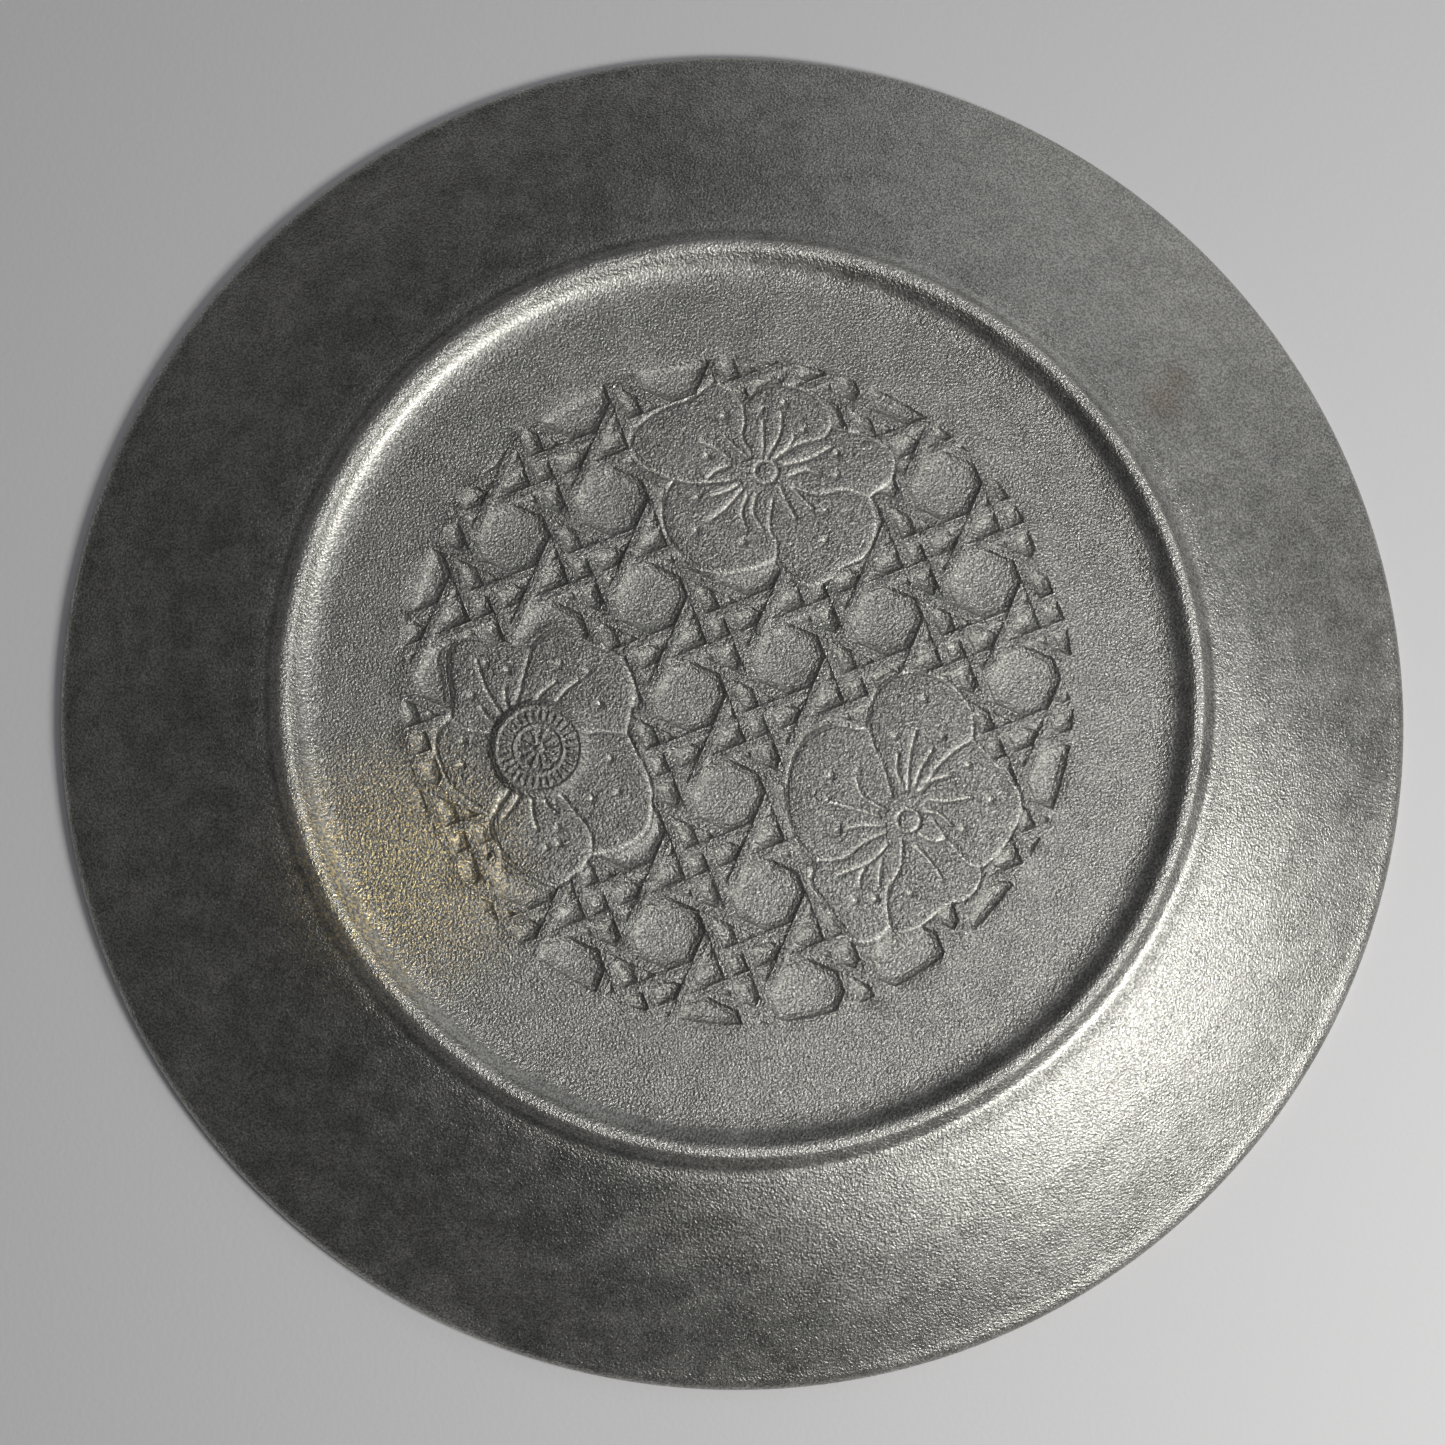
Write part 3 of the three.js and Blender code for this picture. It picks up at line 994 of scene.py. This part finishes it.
def metal_tone(desk, look, on, place):
    """The colour: mottled, stained and flecked, brighter on the crest, with painted highlights along the
    drawn lines and the strands' edges.
    """
    pepper = desk.ease(noise(desk, place, 1.15 / look.grain, 1.0, 0.5), 0.32, 0.68)
    fleck = desk.ease(noise(desk, place, 0.75 / look.grain, 2.0, 0.6), 0.46, 0.58)
    fleck = desk.times(spot(desk, on["x"], on["y"], *FLECKS_MM), fleck)
    tone = desk.add(desk.times(on["cloud"], 0.35), desk.times(on["patch"], 0.65))
    base = blend(desk, tone, opaque(look.dull), opaque(look.light))
    base = blend(desk, desk.times(stains(desk, on), 0.55), base, opaque(look.stain))
    base = blend(desk, fleck, base, opaque(look.tarnish))
    level = desk.take(desk.times(on["sunk"], 0.12), desk.times(on["raised"], 0.12))
    shade = desk.times(desk.add(0.64, desk.times(pepper, 0.66)), desk.add(1.0, level))
    shade = desk.times(shade, desk.flip(desk.times(on["strand"], 0.06)))
    shade = desk.add(shade, desk.times(on["worn"], 0.4))
    # Painted highlight: the colour is made brighter along every strand's edge and along the veins,
    # outlines and dots, in place of the glints that these edges and the grooves' walls catch.
    shade = desk.add(shade, desk.most(desk.times(on["edge"], 1.2), desk.times(on["lines"], 0.8)))
    return scaled(desk, base, shade)


def metal_roughness(desk, on):
    """Satin: a little rougher in the openings, smoother on scratches and strands' edges."""
    rough = desk.add(0.31, desk.add(desk.times(on["patch"], 0.09), desk.times(on["cloud"], 0.05)))
    rough = desk.add(rough, desk.times(on["sunk"], 0.06))
    return desk.take(rough, desk.times(desk.add(on["scratch"], on["edge"]), 0.1))


def metal_height(desk, look, plate, on, place):
    """The surface's fine height: grain, a ridge along each strand's edge, openings, scratches."""
    grain = noise(desk, place, 1.0 / look.grain, 2.0, 0.6)
    coarse = desk.times(grain, grain_share(desk, on["out"], plate))
    cut = desk.add(desk.times(on["scratch"], 0.5), desk.times(on["opening"], 0.25))
    return desk.take(desk.add(coarse, desk.times(on["edge"], 0.3)), cut)


def cast_metal(look, plate, weave):
    """Aged cast aluminium: grainy, mottled, worn bright on the crest, with painted highlights along the
    drawn lines and the strands' edges.
    """
    material = bpy.data.materials.new("Cast metal")
    material.use_nodes = True
    desk = NodeDesk(material.node_tree)
    shine = desk.tree.nodes["Principled BSDF"]
    place = desk.node("ShaderNodeTexCoord").outputs["Object"]
    on = metal_places(desk, plate, weave, place)
    desk.feed(shine.inputs["Base Color"], metal_tone(desk, look, on, place))
    desk.feed(shine.inputs["Roughness"], metal_roughness(desk, on))
    shine.inputs["Metallic"].default_value = 1.0
    bump = desk.node("ShaderNodeBump")
    bump.inputs["Distance"].default_value = look.grain_height
    desk.feed(bump.inputs["Height"], metal_height(desk, look, plate, on, place))
    desk.feed(shine.inputs["Normal"], bump.outputs[0])
    return material


def scaled(desk, tone, share):
    """A colour made lighter or darker by a share."""
    made = desk.node("ShaderNodeVectorMath", operation="SCALE")
    desk.feed(made.inputs[0], tone)
    desk.feed(made.inputs["Scale"], share)
    return made.outputs[0]


def grain_share(desk, out, plate):
    """How strong the grain is at a distance from the middle: full on the field and the crest, less
    on the rim, and little in the smooth hollows on both sides of the crest."""
    crest = plate.foot_radius
    on_rim = desk.ease(out, crest + 3.5 * MM, crest + 8 * MM)
    outside = desk.bell(desk.size(desk.take(out, crest + 3.2 * MM)), 1.3 * MM)
    inside = desk.bell(desk.size(desk.take(out, crest - 3.4 * MM)), 1.6 * MM)
    smooth = desk.sum("ADD", outside, inside, clamp=True)
    return desk.times(desk.flip(desk.times(on_rim, 0.5)), desk.flip(desk.times(smooth, 0.75)))


def stains(desk, on):
    """Two small brown stains on the rim."""
    brown = desk.most(*[spot(desk, on["x"], on["y"], *stain) for stain in STAINS_MM])
    return desk.times(brown, desk.add(0.5, desk.times(on["patch"], 0.5)))


def scratches(desk, x, y):
    """A few fine parallel scratches on the rim near +X."""
    line = desk.add(desk.times(y, 900.0), desk.times(x, 160.0))
    wander = noise(desk, desk.join(desk.times(x, 30.0), desk.times(y, 420.0), 0.0), 1.0, 1.0)
    fine = desk.ease(desk.sine(desk.add(line, desk.times(wander, 2.0))), 0.7, 0.95)
    return desk.times(fine, desk.ease(spot(desk, x, y, *SCRATCHES_MM), 0.2, 0.7))


def plain_surface(name, tone, roughness):
    """A plain matt surface for the floor, with a faint paper tooth."""
    material = bpy.data.materials.new(name)
    material.use_nodes = True
    desk = NodeDesk(material.node_tree)
    shine = desk.tree.nodes["Principled BSDF"]
    shine.inputs["Base Color"].default_value = opaque(tone)
    shine.inputs["Roughness"].default_value = roughness
    bump = desk.node("ShaderNodeBump")
    bump.inputs["Distance"].default_value = 0.05 * MM
    place = desk.node("ShaderNodeTexCoord").outputs["Object"]
    desk.feed(bump.inputs["Height"], noise(desk, place, 900.0))
    desk.feed(shine.inputs["Normal"], bump.outputs[0])
    return material


# ---- Building ----

def build_plate(scene):
    """Makes the one visible piece, the casting, and ties it to the frame."""
    plate, weave, flowers = scene.paten_plate, scene.paten_weave, scene.paten_flowers
    fine_radius = weave.panel_radius + math.hypot(weave.shift_x, weave.shift_y) + 1.5 * MM
    mesh, fine_count = plain_casting(plate, fine_radius)
    casting = mesh_object("plain_casting", mesh)
    patterns = {
        "Petals": mesh_object("petals", petals_mesh()),
        "Outlines": mesh_object("outlines", lines_mesh("outlines", outline_lines())),
        "Veins": mesh_object("veins", lines_mesh("veins", vein_lines(flowers))),
        "Dots": mesh_object("dots", dots_mesh()),
    }
    relief = casting.modifiers.new("relief", "NODES")
    relief.node_group = relief_tree()
    metal = cast_metal(scene.paten_metal, plate, weave)
    give(relief, relief_values(plate, weave, flowers, patterns, metal))
    thin(casting, fine_count, plate.most_triangles)
    piece = as_plain_mesh(casting, "cast_plate")
    for pattern in patterns.values():
        drop(pattern)
    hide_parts("plate")
    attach(piece, "root")


def soft_light(name, place, size, power, tone):
    """A square soft light looking at the plate."""
    lamp = bpy.data.lights.new(name, "AREA")
    lamp.size = size
    lamp.energy = power
    lamp.color = tone
    thing = bpy.data.objects.new(name, lamp)
    thing.location = place
    thing.rotation_euler = (-Vector(place)).to_track_quat("-Z", "Y").to_euler()
    bpy.context.scene.collection.objects.link(thing)


def build_stage(scene):
    """Makes the floor, the lights and the camera."""
    stage = scene.paten_stage
    half = stage.floor_half
    mesh = bpy.data.meshes.new("floor")
    corners = [(-half, -half, 0), (half, -half, 0), (half, half, 0), (-half, half, 0)]
    mesh.from_pydata(corners, [], [(0, 1, 2, 3)])
    mesh.materials.append(plain_surface("Floor", stage.floor_colour, 0.9))
    mesh_object("floor", mesh)

    soft_light("key_light", power=stage.key_power, **KEY_LIGHT)
    soft_light("top_light", power=stage.fill_power, **TOP_LIGHT)
    soft_light("side_light", power=stage.side_power, **SIDE_LIGHT)
    world = bpy.data.worlds.new("Room")
    world.use_nodes = True
    room = world.node_tree.nodes["Background"].inputs
    room["Color"].default_value = ROOM_TONE
    room["Strength"].default_value = stage.air
    scene.world = world
    scene.view_settings.view_transform = "Standard"
    camera = build_camera(stage)
    scene.collection.objects.link(camera)
    scene.camera = camera


def build_camera(stage):
    """A camera almost straight above the plate, with its picture slid over to frame it."""
    camera = bpy.data.cameras.new("camera")
    camera.lens = stage.lens_mm
    camera.shift_x, camera.shift_y = CAMERA_SHIFT
    camera.dof.use_dof = False
    thing = bpy.data.objects.new("camera", camera)
    turn = Matrix.Rotation(CAMERA_TILT, 4, "Y") @ Matrix.Rotation(CAMERA_LEAN, 4, "X")
    thing.matrix_world = Matrix.Translation((CAMERA_X, CAMERA_Y, stage.camera_height)) @ turn
    return thing


# ---- Add-on ----

class PATEN_OT_cast_plate(bpy.types.Operator):
    """Make the plate with its woven panel and flowers"""
    bl_idname = "paten.cast_plate"
    bl_label = "Cast plate"

    def execute(self, context):
        build_plate(context.scene)
        return {"FINISHED"}


class PATEN_OT_set_stage(bpy.types.Operator):
    """Set the floor, the lights and the camera"""
    bl_idname = "paten.set_stage"
    bl_label = "Set stage"

    def execute(self, context):
        build_stage(context.scene)
        return {"FINISHED"}


class PATEN_PT_sidebar(bpy.types.Panel):
    """Sizes, looks and buttons in the sidebar"""
    bl_label = "Paten plate"
    bl_idname = "PATEN_PT_sidebar"
    bl_space_type = "VIEW_3D"
    bl_region_type = "UI"
    bl_category = "Plate"

    def draw(self, context):
        for key, (label, _) in SETTINGS.items():
            group = getattr(context.scene, key)
            box = self.layout.box()
            box.label(text=label)
            for name in group.__annotations__:
                box.prop(group, name)
        for operator in OPERATORS:
            self.layout.operator(operator.bl_idname)


SETTINGS = {
    "paten_plate": ("Plate", PlateSizes),
    "paten_weave": ("Weave", WeaveSizes),
    "paten_flowers": ("Flowers", FlowerSizes),
    "paten_metal": ("Metal", MetalLook),
    "paten_stage": ("Stage", StageSettings),
}
OPERATORS = (PATEN_OT_cast_plate, PATEN_OT_set_stage)


def register():
    for key, (_, kind) in SETTINGS.items():
        bpy.utils.register_class(kind)
        setattr(bpy.types.Scene, key, bpy.props.PointerProperty(type=kind))
    for kind in (*OPERATORS, PATEN_PT_sidebar):
        bpy.utils.register_class(kind)


def unregister():
    for kind in (PATEN_PT_sidebar, *reversed(OPERATORS)):
        bpy.utils.unregister_class(kind)
    for key, (_, kind) in reversed(SETTINGS.items()):
        delattr(bpy.types.Scene, key)
        bpy.utils.unregister_class(kind)


def main():
    register()
    bpy.ops.paten.cast_plate()
    bpy.ops.paten.set_stage()


if __name__ == "__main__":
    main()
